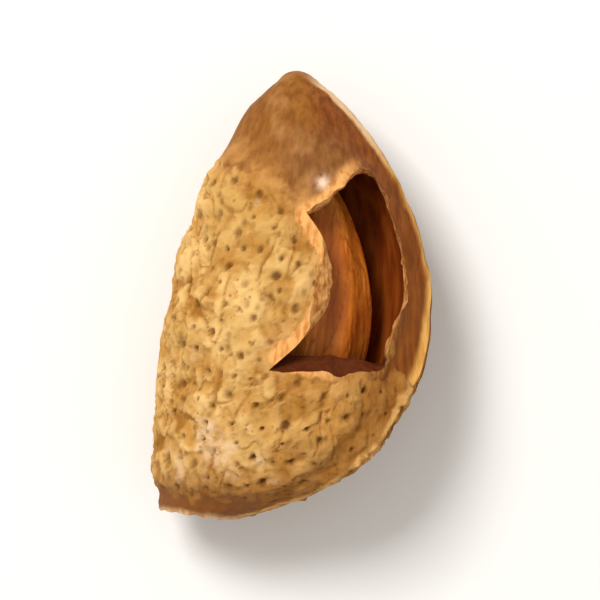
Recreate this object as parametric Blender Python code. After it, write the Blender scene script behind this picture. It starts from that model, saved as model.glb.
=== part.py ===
"""An almond in its shell, broken open beside the keel so that the kernel shows.

The nut lies on a small flat spot. +Y runs along it to the apex, +X to the keel, which is the ridge where
the two halves of the shell meet, and +Z is up. The origin is the middle of the flat spot.

The nut is drawn in millimetres around its own suture plane, with z = 0 where the halves meet. It is then
rolled a little about its length by ROLLED, and set down on the flat spot, in metres, by set_down().
"""

import math
import random

import bmesh
import bpy
from mathutils import Matrix, Vector, noise

# Driving dimensions of the shell, in millimetres
BASE_Y = -17.0
APEX_Y = 14.9
HALF_WIDTH = 9.2
HALF_THICKNESS = 6.9
WIDTH_RISE, WIDTH_FALL = 0.39, 0.59
THICKNESS_RISE, THICKNESS_FALL = 0.44, 0.60
BOW = 1.3
BASE_SHIFT, BASE_SHIFT_POWER = 5.0, 8
APEX_SHIFT, APEX_SHIFT_POWER = 0.6, 6
SECTION_POWER, KEEL_SHARPNESS = 2.0, 0.25
TWIST, TWIST_FROM, TWIST_TO = math.radians(30), 0.05, 0.60

# Relief of the shell; the keel rises and fades at these shares of the length
KEEL_HEIGHT, KEEL_SPREAD = 0.8, 0.75
KEEL_RISEN, KEEL_FADING = 0.16, 0.70
SEAM_DEPTH, SEAM_SPREAD = 0.35, 0.22
FURROW_DEPTH, FURROW_SPREAD, FURROW_OFFSET = 0.22, 0.55, 2.0
BACK_SEAM_DEPTH, BACK_SEAM_SPREAD = 0.30, 0.45
LUMP_HEIGHT, LUMP_SPREAD = 0.42, 5.5
RELIEF_FROM_AXIS = 2.5
CAP_SETBACK, CAP_EDGE_Y, CAP_EDGE_BLUR = 0.25, 6.2, 0.5
CAP_EDGE_SLANT, CAP_EDGE_WAVE, CAP_EDGE_SPREAD = -0.42, 0.7, 2.6
BEAK_LENGTH, BEAK_FROM = 0.25, 0.97
COLLAR_DEPTH, COLLAR_AT, COLLAR_SPREAD = 0.45, 0.05, 0.022

# Scar on the base, where the nut was joined to its stalk
SCAR_FROM = 0.012
SCAR_RIM, SCAR_FLOOR = 0.80, 0.58
SCAR_DEPTH = 0.7

# Pits in the shell's crust
PIT_SEED = 11
PIT_TRIES = 9000
PIT_SPACING = 1.95
PIT_RADIUS = (0.34, 0.60)
PIT_DEPTH = (0.38, 0.66)
PIT_STRETCH = 1.3
PIT_SIDES = 6
PIT_FLOOR = 0.42
PIT_HEADROOM = 0.45
PIT_FLARE = 1.18
PIT_SOFTNESS = 0.14
PIT_TO_WINDOW = 1.15
PIT_TO_KEEL, PIT_TO_SPOT = 3.0, 0.55
PIT_FIRST, PIT_LAST = 0.06, 0.95

# Hollow that holds the kernel
CAVITY_BASE_Y, CAVITY_APEX_Y = -12.8, 11.2
CAVITY_HALF_WIDTH, CAVITY_HALF_THICKNESS = 7.1, 5.2
CAVITY_X = 0.1
CAVITY_RISE, CAVITY_FALL = 0.45, 0.46

# Hole broken in the upper half of the rolled nut, seen from above; corners stay sharp and the rest is rounded
WINDOW = (
    ("round", 4.3, 8.3),
    ("round", 5.9, 7.4),
    ("round", 7.4, 4.2),
    ("round", 8.3, 0.4),
    ("corner", 7.7, -5.3),
    ("round", 4.2, -5.1),
    ("corner", 0.4, -4.7),
    ("round", 2.4, -2.3),
    ("round", 3.2, 0.4),
    ("round", 2.7, 3.0),
    ("corner", 1.2, 5.0),
    ("round", 2.6, 6.0),
)
WINDOW_STEP = 0.9
WINDOW_RAGGED, WINDOW_RAGGED_SPREAD = 0.22, 1.1
WINDOW_FLARE = 1.12
WINDOW_FLOOR, WINDOW_TOP = 1.0, 11.0
LEAN, LEAN_FROM = 0.7, 5.2

# Kernel
KERNEL_BASE_Y, KERNEL_APEX_Y = -11.4, 9.8
KERNEL_HALF_WIDTH, KERNEL_HALF_THICKNESS = 5.5, 4.05
KERNEL_RISE, KERNEL_FALL = 0.47, 0.72
KERNEL_X, KERNEL_DROP = -0.4, 0.52
WRINKLES, WRINKLE_DEPTH = 11, 0.12
WRINKLE_DRIFT, WRINKLE_DRIFT_RATE = 2.2, 0.18

# How the nut lies: its roll about its length, and the flat spot's height and middle
ROLL = math.radians(9)
SPOT_CUT = 0.34
SPOT_X, SPOT_Y = -0.65, -6.05
SPOT_BLOCK = (60.0, 60.0, 10.0)

# Fineness of the meshes
SHELL_AROUND, SHELL_ALONG = 56, 38
CAVITY_AROUND, CAVITY_ALONG = 30, 18
KERNEL_AROUND, KERNEL_ALONG = 44, 24
KEEL_CROWDING = 0.4
SHARP_ANGLE = math.radians(50)
SLOPE_STEP = 0.004
POINT_SIZE = 0.01

MM = 0.001
ROLLED = Matrix.Rotation(-ROLL, 4, "Y")


def smoothstep(low, high, value):
    t = min(max((value - low) / (high - low), 0.0), 1.0)
    return t * t * (3 - 2 * t)


def bump(distance, spread):
    return math.exp(-((distance / spread) ** 2))


def egg(s, rise, fall):
    """A profile from 0 at the base to 1 at its fullest and 0 at the apex; both ends are blunt."""
    fullest = rise / (rise + fall)
    return (s**rise * (1 - s) ** fall) / (fullest**rise * (1 - fullest) ** fall)


def bent_axis(s):
    """Sideways place of the nut's middle line, which bows to the keel and turns back at both ends."""
    ends = BASE_SHIFT * (1 - s) ** BASE_SHIFT_POWER + APEX_SHIFT * s**APEX_SHIFT_POWER
    return BOW * math.sin(math.pi * s) - ends


def section(turn, half_width, half_thickness):
    """A point of the cross-section: an oval that is drawn out towards the keel at turn 0."""
    half_width, half_thickness = max(half_width, POINT_SIZE), max(half_thickness, POINT_SIZE)
    angle = math.atan2(half_thickness * math.sin(turn), half_width * math.cos(turn))
    power = SECTION_POWER - KEEL_SHARPNESS * math.cos(angle)
    reach = abs(math.cos(angle) / half_width) ** power + abs(math.sin(angle) / half_thickness) ** power
    reach = reach ** (-1 / power)
    return reach * math.cos(angle), reach * math.sin(angle)


def twist_at(s):
    """How far the nut is turned about its length there: the keel climbs to the upper side at the base."""
    return TWIST * (1 - smoothstep(TWIST_FROM, TWIST_TO, s))


def turned(across, up, angle):
    return across * math.cos(angle) - up * math.sin(angle), across * math.sin(angle) + up * math.cos(angle)


def from_keel(point):
    """Height of a point over the keel's crest line, with the twist taken out."""
    s = (point.y - BASE_Y) / (APEX_Y - BASE_Y)
    return turned(point.x - bent_axis(min(max(s, 0), 1)), point.z, -twist_at(s))[1]


def cap_share(x, y, z):
    """1 on the smooth cap round the apex, where the crust has worn away, and 0 on the crust."""
    wave = CAP_EDGE_WAVE * noise.noise(Vector((x, 0, z)) / CAP_EDGE_SPREAD)
    edge = CAP_EDGE_Y + CAP_EDGE_SLANT * x + wave
    return smoothstep(edge - CAP_EDGE_BLUR, edge + CAP_EDGE_BLUR, y)


def outer_point(s, turn):
    """The shell's outside at s of its length and turn round it, with all its relief but the pits."""
    half_width = HALF_WIDTH * egg(s, WIDTH_RISE, WIDTH_FALL)
    half_thickness = HALF_THICKNESS * egg(s, THICKNESS_RISE, THICKNESS_FALL)
    across, up = section(turn, half_width, half_thickness)
    x = bent_axis(s) + across
    y = BASE_Y + (APEX_Y - BASE_Y) * s
    lump = LUMP_HEIGHT * noise.noise(Vector((x, y, up)) / LUMP_SPREAD)
    collar = COLLAR_DEPTH * bump(s - COLLAR_AT, COLLAR_SPREAD)
    relief = lump - CAP_SETBACK * cap_share(x, y, up) - collar
    along_keel = smoothstep(0, KEEL_RISEN, s) * (1 - smoothstep(KEEL_FADING, 1, s))
    if across > 0:
        ridge = KEEL_HEIGHT * bump(up, KEEL_SPREAD) - SEAM_DEPTH * bump(up, SEAM_SPREAD)
        furrow = FURROW_DEPTH * bump(abs(up) - FURROW_OFFSET, FURROW_SPREAD)
        outward = along_keel * (ridge - furrow)
    else:
        outward = along_keel * BACK_SEAM_DEPTH * bump(up, BACK_SEAM_SPREAD)
    radius = math.hypot(across, up)
    scale = 1 + relief * smoothstep(0, RELIEF_FROM_AXIS, radius) / max(radius, POINT_SIZE)
    y += BEAK_LENGTH * smoothstep(BEAK_FROM, 1, s)
    across, up = turned(across * scale + outward, up * scale, twist_at(s))
    return Vector((bent_axis(s) + across, y, up))


def cavity_point(s, turn):
    """The wall of the hollow inside the shell."""
    profile = egg(s, CAVITY_RISE, CAVITY_FALL)
    across, up = section(turn, CAVITY_HALF_WIDTH * profile, CAVITY_HALF_THICKNESS * profile)
    y = CAVITY_BASE_Y + (CAVITY_APEX_Y - CAVITY_BASE_Y) * s
    x = CAVITY_X + bent_axis((y - BASE_Y) / (APEX_Y - BASE_Y))
    return Vector((x + across, y, up))


def kernel_point(s, turn):
    """The kernel's skin: a flattened teardrop, finer to the apex, with long wrinkles."""
    profile = egg(s, KERNEL_RISE, KERNEL_FALL)
    across = KERNEL_HALF_WIDTH * profile * math.cos(turn)
    up = KERNEL_HALF_THICKNESS * profile * math.sin(turn)
    y = KERNEL_BASE_Y + (KERNEL_APEX_Y - KERNEL_BASE_Y) * s
    drift = WRINKLE_DRIFT * noise.noise(Vector((math.cos(turn), WRINKLE_DRIFT_RATE * y, math.sin(turn))))
    groove = WRINKLE_DEPTH * profile * (math.cos(WRINKLES * turn + drift) - 1)
    scale = 1 + groove / max(math.hypot(across, up), POINT_SIZE)
    x = KERNEL_X + bent_axis((y - BASE_Y) / (APEX_Y - BASE_Y))
    return Vector((x + across * scale, y, up * scale - KERNEL_DROP))


def set_down():
    """The move from the rolled nut, in millimetres, to the nut on its flat spot, in metres."""
    around = turns(SHELL_AROUND, KEEL_CROWDING)
    rings = [[outer_point(s, turn) for turn in around] for s in stations(SHELL_ALONG, SCAR_FROM, 1)]
    lowest = min((ROLLED @ point).z for ring in rings for point in ring)
    return Matrix.Scale(MM, 4) @ Matrix.Translation((-SPOT_X, -SPOT_Y, -lowest - SPOT_CUT))


def stations(count, first, last):
    """Values from first to last that crowd towards both ends."""
    return [first + (last - first) * (1 - math.cos(math.pi * k / count)) / 2 for k in range(count + 1)]


def turns(count, crowding=0.0):
    """Angles round the nut that crowd towards the keel."""
    even = [math.tau * k / count for k in range(count)]
    return [turn - crowding * math.sin(turn) for turn in even]


def ring_solid(bm, rings, start, end):
    """Joins rings of points into a closed skin, with a point at each end."""
    layers = [[bm.verts.new(point) for point in ring] for ring in rings]
    count = len(layers[0])
    first, last = bm.verts.new(start), bm.verts.new(end)
    for k in range(count):
        after = (k + 1) % count
        bm.faces.new((first, layers[0][after], layers[0][k]))
        bm.faces.new((last, layers[-1][k], layers[-1][after]))
        for low, high in zip(layers, layers[1:]):
            bm.faces.new((low[k], low[after], high[after], high[k]))


def finished(name, bm, move, material=None):
    """An object from a bmesh, with its faces turned outward and split into triangles."""
    bm.transform(move)
    bmesh.ops.recalc_face_normals(bm, faces=bm.faces)
    bmesh.ops.triangulate(bm, faces=bm.faces)
    mesh = bpy.data.meshes.new(name)
    bm.to_mesh(mesh)
    bm.free()
    obj = bpy.data.objects.new(name, mesh)
    bpy.context.collection.objects.link(obj)
    if material:
        mesh.materials.append(material)
        mesh.shade_smooth()
        mesh.set_sharp_from_angle(angle=SHARP_ANGLE)
    return obj


def cutter(name, bm, move):
    obj = finished(name, bm, move)
    obj.hide_render = True
    obj.display_type = "WIRE"
    return obj


def subtract(target, tool):
    modifier = target.modifiers.new(tool.name, "BOOLEAN")
    modifier.operation = "DIFFERENCE"
    modifier.solver = "EXACT"
    modifier.object = tool


def principled(name, colour, roughness):
    material = bpy.data.materials.new(name)
    material.use_nodes = True
    shader = material.node_tree.nodes["Principled BSDF"]
    shader.inputs["Base Color"].default_value = (*colour, 1)
    shader.inputs["Roughness"].default_value = roughness
    shader.inputs["Metallic"].default_value = 0
    return material


def shell_blank(move, material):
    """The shell before anything is cut from it, with the sunk scar on its base."""
    around = turns(SHELL_AROUND, KEEL_CROWDING)
    rings = [[outer_point(s, turn) for turn in around] for s in stations(SHELL_ALONG, SCAR_FROM, 1)[:-1]]
    edge = rings[0]
    middle = sum(edge, Vector()) / len(edge)
    sunk = Vector((0, SCAR_DEPTH, 0))
    rim = [middle + (point - middle) * SCAR_RIM for point in edge]
    floor = [middle + (point - middle) * SCAR_FLOOR + sunk for point in edge]
    bm = bmesh.new()
    ring_solid(bm, [floor, rim, *rings], middle + sunk, outer_point(1, 0))
    return finished("shell", bm, move, material)


def spot_cutter():
    """A block under the nut, whose top leaves the flat spot."""
    bm = bmesh.new()
    block = Matrix.Diagonal((*SPOT_BLOCK, 1))
    bmesh.ops.create_cube(bm, size=1, matrix=Matrix.Translation((0, 0, -SPOT_BLOCK[2] / 2)) @ block)
    return cutter("spot_cutter", bm, Matrix.Scale(MM, 4))


def cavity_cutter(move):
    around = turns(CAVITY_AROUND)
    rings = [[cavity_point(s, turn) for turn in around] for s in stations(CAVITY_ALONG, 0, 1)[1:-1]]
    bm = bmesh.new()
    ring_solid(bm, rings, cavity_point(0, 0), cavity_point(1, 0))
    return cutter("cavity_cutter", bm, move)


def hermite(start, leave, end, arrive, t):
    """A point at t of the curve that leaves start and arrives at end in the given directions."""
    from_start = start * (2 * t**3 - 3 * t**2 + 1) + leave * (t**3 - 2 * t**2 + t)
    return from_start + end * (3 * t**2 - 2 * t**3) + arrive * (t**3 - t**2)


def window_outline():
    """The hole's outline: a curve that is rounded through WINDOW, but for its corners, and then ragged."""
    count = len(WINDOW)
    points = [Vector((x, y)) for _, x, y in WINDOW]
    outline = []
    for k, (kind, _, _) in enumerate(WINDOW):
        after = (k + 1) % count
        start, end = points[k], points[after]
        leave = (end - points[k - 1]) / 2 if kind == "round" else end - start
        arrive = (points[(k + 2) % count] - start) / 2 if WINDOW[after][0] == "round" else end - start
        steps = max(1, round((end - start).length / WINDOW_STEP))
        outline += [hermite(start, leave, end, arrive, step / steps) for step in range(steps)]
    middle = sum(outline, Vector((0, 0))) / len(outline)
    ragged = []
    for point in outline:
        push = WINDOW_RAGGED * noise.noise(point.to_3d() / WINDOW_RAGGED_SPREAD)
        ragged.append(point + (point - middle).normalized() * push)
    return ragged, middle


def window_ring(height):
    """The hole's outline at a height: it widens upward, and its left side leans out above LEAN_FROM."""
    outline, middle = window_outline()
    flare = 1 + (WINDOW_FLARE - 1) * (height - WINDOW_FLOOR) / (WINDOW_TOP - WINDOW_FLOOR)
    ring = []
    for point in outline:
        outward = (point - middle).normalized()
        lean = LEAN * smoothstep(0.2, 0.9, -outward.x) * max(height - LEAN_FROM, 0)
        wide = middle + (point - middle) * flare + outward * lean
        ring.append(Vector((wide.x, wide.y, height)))
    return ring


def window_cutter(down):
    """A block through the upper half of the shell, so shaped that the broken wall slopes in."""
    bm = bmesh.new()
    rings = [
        [bm.verts.new(point) for point in window_ring(height)]
        for height in (WINDOW_FLOOR, LEAN_FROM, WINDOW_TOP)
    ]
    bm.faces.new(rings[0])
    bm.faces.new(rings[-1])
    for low, high in zip(rings, rings[1:]):
        for k in range(len(low)):
            after = (k + 1) % len(low)
            bm.faces.new((low[k], low[after], high[after], high[k]))
    return cutter("window_cutter", bm, down)


def near_window(point, outline):
    """Whether a point of the rolled nut's upper half lies in the hole or within PIT_TO_WINDOW of it."""
    if point.z < 0:
        return False
    flat = Vector((point.x, point.y))
    inside = False
    for k, start in enumerate(outline):
        end = outline[(k + 1) % len(outline)]
        if (start.y > flat.y) != (end.y > flat.y):
            cross = start.x + (flat.y - start.y) * (end.x - start.x) / (end.y - start.y)
            inside ^= flat.x < cross
    return inside or min((flat - point).length for point in outline) < PIT_TO_WINDOW


def surface_frame(s, turn):
    """A point of the outside with its outward direction and its direction along the nut."""
    point = outer_point(s, turn)
    along = (outer_point(s + SLOPE_STEP, turn) - point).normalized()
    sideways = (outer_point(s, turn + SLOPE_STEP) - point).normalized()
    return point, along.cross(sideways).normalized(), along


def pits(down):
    """Each pit's middle, outward direction, length direction and size, in seeded and well-spaced places."""
    draw = random.Random(PIT_SEED)
    outline, _ = window_outline()
    found = []
    for _ in range(PIT_TRIES):
        s = draw.uniform(PIT_FIRST, PIT_LAST)
        turn = draw.uniform(0, math.tau)
        radius = draw.uniform(*PIT_RADIUS)
        depth = draw.uniform(*PIT_DEPTH)
        point, outward, along = surface_frame(s, turn)
        rolled = ROLLED @ point
        on_keel = math.cos(turn) > 0 and abs(from_keel(point)) < PIT_TO_KEEL
        on_cap = cap_share(*point) > 0
        on_spot = (down @ rolled).z < PIT_TO_SPOT * MM
        if on_keel or on_cap or on_spot or near_window(rolled, outline):
            continue
        if all((point - other[0]).length > PIT_SPACING for other in found):
            found.append((point, outward, along, radius, depth))
    return found


def pit_cutter(down):
    """All the pits as one set of small plugs, wide above the crust and narrow at the pit's floor."""
    draw = random.Random(PIT_SEED + 1)
    bm = bmesh.new()
    for point, outward, along, radius, depth in pits(down):
        across = outward.cross(along).normalized()
        start = draw.uniform(0, math.tau)
        top, floor = [], []
        for k in range(PIT_SIDES):
            angle = start + math.tau * k / PIT_SIDES
            reach = radius * draw.uniform(1 - PIT_SOFTNESS, 1 + PIT_SOFTNESS)
            side = along * (PIT_STRETCH * reach * math.cos(angle)) + across * (reach * math.sin(angle))
            top.append(bm.verts.new(point + side * PIT_FLARE + outward * PIT_HEADROOM))
            floor.append(bm.verts.new(point + side * PIT_FLOOR - outward * depth))
        bm.faces.new(top)
        bm.faces.new(floor)
        for k in range(PIT_SIDES):
            after = (k + 1) % PIT_SIDES
            bm.faces.new((top[k], top[after], floor[after], floor[k]))
    return cutter("pit_cutter", bm, down @ ROLLED)


def make_shell(down):
    crust = principled("almond_shell", (0.64, 0.38, 0.14), 0.72)
    shell = shell_blank(down @ ROLLED, crust)
    subtract(shell, spot_cutter())
    subtract(shell, pit_cutter(down))
    subtract(shell, cavity_cutter(down @ ROLLED))
    subtract(shell, window_cutter(down))


def make_kernel(down):
    skin = principled("almond_kernel", (0.36, 0.12, 0.02), 0.5)
    around = turns(KERNEL_AROUND)
    rings = [[kernel_point(s, turn) for turn in around] for s in stations(KERNEL_ALONG, 0, 1)[1:-1]]
    bm = bmesh.new()
    ring_solid(bm, rings, kernel_point(0, 0), kernel_point(1, 0))
    finished("kernel", bm, down @ ROLLED, skin)


def main():
    for obj in list(bpy.data.objects):
        bpy.data.objects.remove(obj)
    down = set_down()
    make_shell(down)
    make_kernel(down)


main()
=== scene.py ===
# %% [markdown]
# An almond in its shell is the stone of a fruit. This one lies on its side and is broken open beside its
# keel, so that the kernel shows. The frame holds it as two plain solids, shell and kernel. This lesson
# grows a finer shell and kernel over them, paints both with nodes and lights them for a picture.
# The frame is loaded first, and its box is kept, because the finer pieces have to stay inside it.

# %% Load the frame
import math
import random

import bmesh
import bpy
from mathutils import Matrix, Vector, noise
from mathutils.kdtree import KDTree


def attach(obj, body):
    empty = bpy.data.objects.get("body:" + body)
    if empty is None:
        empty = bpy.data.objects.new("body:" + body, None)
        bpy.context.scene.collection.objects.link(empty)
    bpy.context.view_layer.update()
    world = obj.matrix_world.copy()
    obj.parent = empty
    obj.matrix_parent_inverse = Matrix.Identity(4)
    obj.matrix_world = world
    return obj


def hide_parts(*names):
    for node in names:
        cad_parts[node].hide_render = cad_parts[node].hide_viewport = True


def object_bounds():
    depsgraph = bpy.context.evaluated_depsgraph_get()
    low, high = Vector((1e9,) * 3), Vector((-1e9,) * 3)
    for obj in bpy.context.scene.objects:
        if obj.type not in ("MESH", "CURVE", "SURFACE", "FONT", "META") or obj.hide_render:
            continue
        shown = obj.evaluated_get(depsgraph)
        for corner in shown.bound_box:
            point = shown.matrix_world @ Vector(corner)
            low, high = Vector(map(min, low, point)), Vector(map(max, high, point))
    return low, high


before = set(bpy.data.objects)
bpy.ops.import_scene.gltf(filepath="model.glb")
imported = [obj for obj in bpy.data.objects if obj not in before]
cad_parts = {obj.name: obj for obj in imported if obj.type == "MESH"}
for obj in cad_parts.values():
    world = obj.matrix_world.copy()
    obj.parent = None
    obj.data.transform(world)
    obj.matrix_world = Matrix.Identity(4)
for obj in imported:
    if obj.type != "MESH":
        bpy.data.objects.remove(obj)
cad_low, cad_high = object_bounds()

print("nodes", sorted(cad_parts), "size in mm", [round(1000 * side, 2) for side in cad_high - cad_low])

# %% [markdown]
# Seen from above, the nut swells quickly from its broad base and runs out slowly to its apex, and its
# thickness does much the same. It could be sculpted by eye, but then nothing finer could be fitted to it
# later. A profile curve says the same in two numbers. The numbers are those of the solid, so the fine
# skin lies where the solid's does. Millimetres keep them readable.

# %% Length and girth
BASE_Y = -17.0
APEX_Y = 14.9
HALF_WIDTH = 9.2
HALF_THICKNESS = 6.9
WIDTH_RISE, WIDTH_FALL = 0.39, 0.59
THICKNESS_RISE, THICKNESS_FALL = 0.44, 0.60


def smoothstep(low, high, value):
    t = min(max((value - low) / (high - low), 0.0), 1.0)
    return t * t * (3 - 2 * t)


def bump(distance, spread):
    return math.exp(-((distance / spread) ** 2))


def egg(s, rise, fall):
    """A profile from 0 at the base to 1 at its fullest and 0 at the apex; both ends are blunt."""
    fullest = rise / (rise + fall)
    return (s**rise * (1 - s) ** fall) / (fullest**rise * (1 - fullest) ** fall)


print("widest at", round(WIDTH_RISE / (WIDTH_RISE + WIDTH_FALL), 2), "of the length from the base")

# %% [markdown]
# The nut isn't straight. Its middle line bows to the keel, turns back a little at the apex, and swings
# well aside at the base, where the stalk sat off centre. A curve object could hold that line, but a sum
# of three terms is enough, and any later step can ask it for a place.

# %% Middle line
BOW = 1.3
BASE_SHIFT, BASE_SHIFT_POWER = 5.0, 8
APEX_SHIFT, APEX_SHIFT_POWER = 0.6, 6


def bent_axis(s):
    """Sideways place of the nut's middle line, which bows to the keel and turns back at both ends."""
    ends = BASE_SHIFT * (1 - s) ** BASE_SHIFT_POWER + APEX_SHIFT * s**APEX_SHIFT_POWER
    return BOW * math.sin(math.pi * s) - ends


print("middle line at base, half and apex", [round(bent_axis(share), 2) for share in (0, 0.5, 1)])

# %% [markdown]
# Cut across, the nut is an oval that is drawn out at the keel, where the two halves of the shell meet. A
# circle scaled in two directions has no such side. A superellipse has a power that makes it more pointed
# or more square, and here that power changes on the way round: low at the keel and high at the back.

# %% Cross-section
SECTION_POWER, KEEL_SHARPNESS = 2.0, 0.25
POINT_SIZE = 0.01


def section(turn, half_width, half_thickness):
    """A point of the cross-section: an oval that is drawn out towards the keel at turn 0."""
    half_width, half_thickness = max(half_width, POINT_SIZE), max(half_thickness, POINT_SIZE)
    angle = math.atan2(half_thickness * math.sin(turn), half_width * math.cos(turn))
    power = SECTION_POWER - KEEL_SHARPNESS * math.cos(angle)
    reach = abs(math.cos(angle) / half_width) ** power + abs(math.sin(angle) / half_thickness) ** power
    reach = reach ** (-1 / power)
    return reach * math.cos(angle), reach * math.sin(angle)


print("keel side of the fullest section", round(section(0, HALF_WIDTH, HALF_THICKNESS)[0], 2))

# %% [markdown]
# Towards the base the keel climbs from the side onto the top of the nut, so the section turns about the
# middle line. Blender's Simple Deform modifier could twist a finished mesh, but the paint needs to know
# where each point would be without the twist. So it is a pair of functions, one for each way.

# %% Twist
TWIST, TWIST_FROM, TWIST_TO = math.radians(30), 0.05, 0.60


def twist_at(s):
    """How far the nut is turned about its length there: the keel climbs to the upper side at the base."""
    return TWIST * (1 - smoothstep(TWIST_FROM, TWIST_TO, s))


def turned(across, up, angle):
    return across * math.cos(angle) - up * math.sin(angle), across * math.sin(angle) + up * math.cos(angle)


def untwisted(point):
    """How far a point lies across from the middle line and over the crest, with the twist taken out."""
    s = (point.y - BASE_Y) / (APEX_Y - BASE_Y)
    return turned(point.x - bent_axis(min(max(s, 0), 1)), point.z, -twist_at(s))


print("turned at the base by", round(math.degrees(twist_at(0))), "degrees")

# %% [markdown]
# Round the apex the crust has rubbed off and left a smooth cap that lies a little lower. Its edge runs
# aslant and wanders. A drawn line would have to be laid onto the skin, while a threshold along the nut,
# bent by a slow noise, serves the relief here and the colours later.

# %% Edge of the cap
CAP_SETBACK, CAP_EDGE_Y, CAP_EDGE_BLUR = 0.25, 6.2, 0.5
CAP_EDGE_SLANT, CAP_EDGE_WAVE, CAP_EDGE_SPREAD = -0.42, 0.7, 2.6


def past_cap_edge(x, y, z):
    """How far a point lies beyond the crust's edge towards the apex, in millimetres."""
    wave = CAP_EDGE_WAVE * noise.noise(Vector((x, 0, z)) / CAP_EDGE_SPREAD)
    return y - (CAP_EDGE_Y + CAP_EDGE_SLANT * x + wave)


def cap_share(x, y, z):
    return smoothstep(-CAP_EDGE_BLUR, CAP_EDGE_BLUR, past_cap_edge(x, y, z))


print("share of the cap at the apex", cap_share(0, APEX_Y, 0))

# %% [markdown]
# Along the keel runs a ridge with a fine seam on its crest and a furrow at each side, and a low seam runs
# along the back, where the halves of the shell have grown together. They could be raised from edge loops,
# but the loops would have to follow the bend and the twist. As a push outward that depends on the place
# in the section, they follow both by themselves.

# %% Keel and seams
KEEL_HEIGHT, KEEL_SPREAD = 0.8, 0.75
KEEL_RISEN, KEEL_FADING = 0.16, 0.70
SEAM_DEPTH, SEAM_SPREAD = 0.35, 0.22
FURROW_DEPTH, FURROW_SPREAD, FURROW_OFFSET = 0.22, 0.55, 2.0
BACK_SEAM_DEPTH, BACK_SEAM_SPREAD = 0.30, 0.45


def seam_relief(s, across, up):
    """How far the keel and the back seam push a point of the section sideways."""
    along_keel = smoothstep(0, KEEL_RISEN, s) * (1 - smoothstep(KEEL_FADING, 1, s))
    if across <= 0:
        return along_keel * BACK_SEAM_DEPTH * bump(up, BACK_SEAM_SPREAD)
    ridge = KEEL_HEIGHT * bump(up, KEEL_SPREAD) - SEAM_DEPTH * bump(up, SEAM_SPREAD)
    furrow = FURROW_DEPTH * bump(abs(up) - FURROW_OFFSET, FURROW_SPREAD)
    return along_keel * (ridge - furrow)


print("keel beside its seam stands", round(seam_relief(0.5, HALF_WIDTH, SEAM_SPREAD), 2), "mm out")

# %% [markdown]
# The rest of the relief that a hand can feel is soft: lumps all over, the step down to the cap, a collar
# round the base and a small beak. Each could be a modifier of its own. As terms of one sum, which moves a
# point of the section along its radius, they can't get out of step with each other. The solid has this
# same outside.

# %% Outside of the nut
LUMP_HEIGHT, LUMP_SPREAD = 0.42, 5.5
RELIEF_FROM_AXIS = 2.5
BEAK_LENGTH, BEAK_FROM = 0.25, 0.97
COLLAR_DEPTH, COLLAR_AT, COLLAR_SPREAD = 0.45, 0.05, 0.022


def outer_point(s, turn):
    """The outside at s of its length and turn round it, with all its relief but the pits."""
    half_width = HALF_WIDTH * egg(s, WIDTH_RISE, WIDTH_FALL)
    half_thickness = HALF_THICKNESS * egg(s, THICKNESS_RISE, THICKNESS_FALL)
    across, up = section(turn, half_width, half_thickness)
    x = bent_axis(s) + across
    y = BASE_Y + (APEX_Y - BASE_Y) * s
    lump = LUMP_HEIGHT * noise.noise(Vector((x, y, up)) / LUMP_SPREAD)
    collar = COLLAR_DEPTH * bump(s - COLLAR_AT, COLLAR_SPREAD)
    relief = lump - CAP_SETBACK * cap_share(x, y, up) - collar
    radius = math.hypot(across, up)
    scale = 1 + relief * smoothstep(0, RELIEF_FROM_AXIS, radius) / max(radius, POINT_SIZE)
    y += BEAK_LENGTH * smoothstep(BEAK_FROM, 1, s)
    outward = seam_relief(s, across, up)
    across, up = turned(across * scale + outward, up * scale, twist_at(s))
    return Vector((bent_axis(s) + across, y, up))


print("outside at the keel", [round(value, 2) for value in outer_point(0.5, 0)])

# %% [markdown]
# The nut is drawn upright around its suture, but it lies rolled on a small flat spot. A parent empty
# could carry that. One matrix does it too, and its inverse leads back from a finished mesh to the
# drawing, which the paint needs. The height comes from the lowest points of the solid's rings, worked out
# as they were for the solid.

# %% Setting the nut down
ROLL = math.radians(9)
SPOT_CUT = 0.34
SPOT_X, SPOT_Y = -0.65, -6.05
SCAR_FROM = 0.012
SHELL_AROUND, SHELL_ALONG = 56, 38
KEEL_CROWDING = 0.4
MM = 0.001
ROLLED = Matrix.Rotation(-ROLL, 4, "Y")


def stations(count, first, last):
    return [first + (last - first) * (1 - math.cos(math.pi * k / count)) / 2 for k in range(count + 1)]


def turns(count, crowding=0.0):
    even = [math.tau * k / count for k in range(count)]
    return [turn - crowding * math.sin(turn) for turn in even]


around = turns(SHELL_AROUND, KEEL_CROWDING)
ring_points = [outer_point(s, turn) for s in stations(SHELL_ALONG, SCAR_FROM, 1) for turn in around]
lowest = min((ROLLED @ point).z for point in ring_points)
DOWN = Matrix.Scale(MM, 4) @ Matrix.Translation((-SPOT_X, -SPOT_Y, -lowest - SPOT_CUT))
PLACE = DOWN @ ROLLED
UNPLACE = PLACE.inverted()
print("apex in the frame, in mm", [round(value / MM, 2) for value in PLACE @ outer_point(1, 0)])

# %% [markdown]
# Rings of points would crowd at the ends of the nut and stretch at its middle. A box of even squares,
# blown up like a balloon, covers it with faces of nearly one size instead. Each corner of the box gives a
# direction, and the direction gives a share of the length and a turn round it.

# %% A blown-up box of squares
FINE_CELLS = (96, 188, 76)


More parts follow.
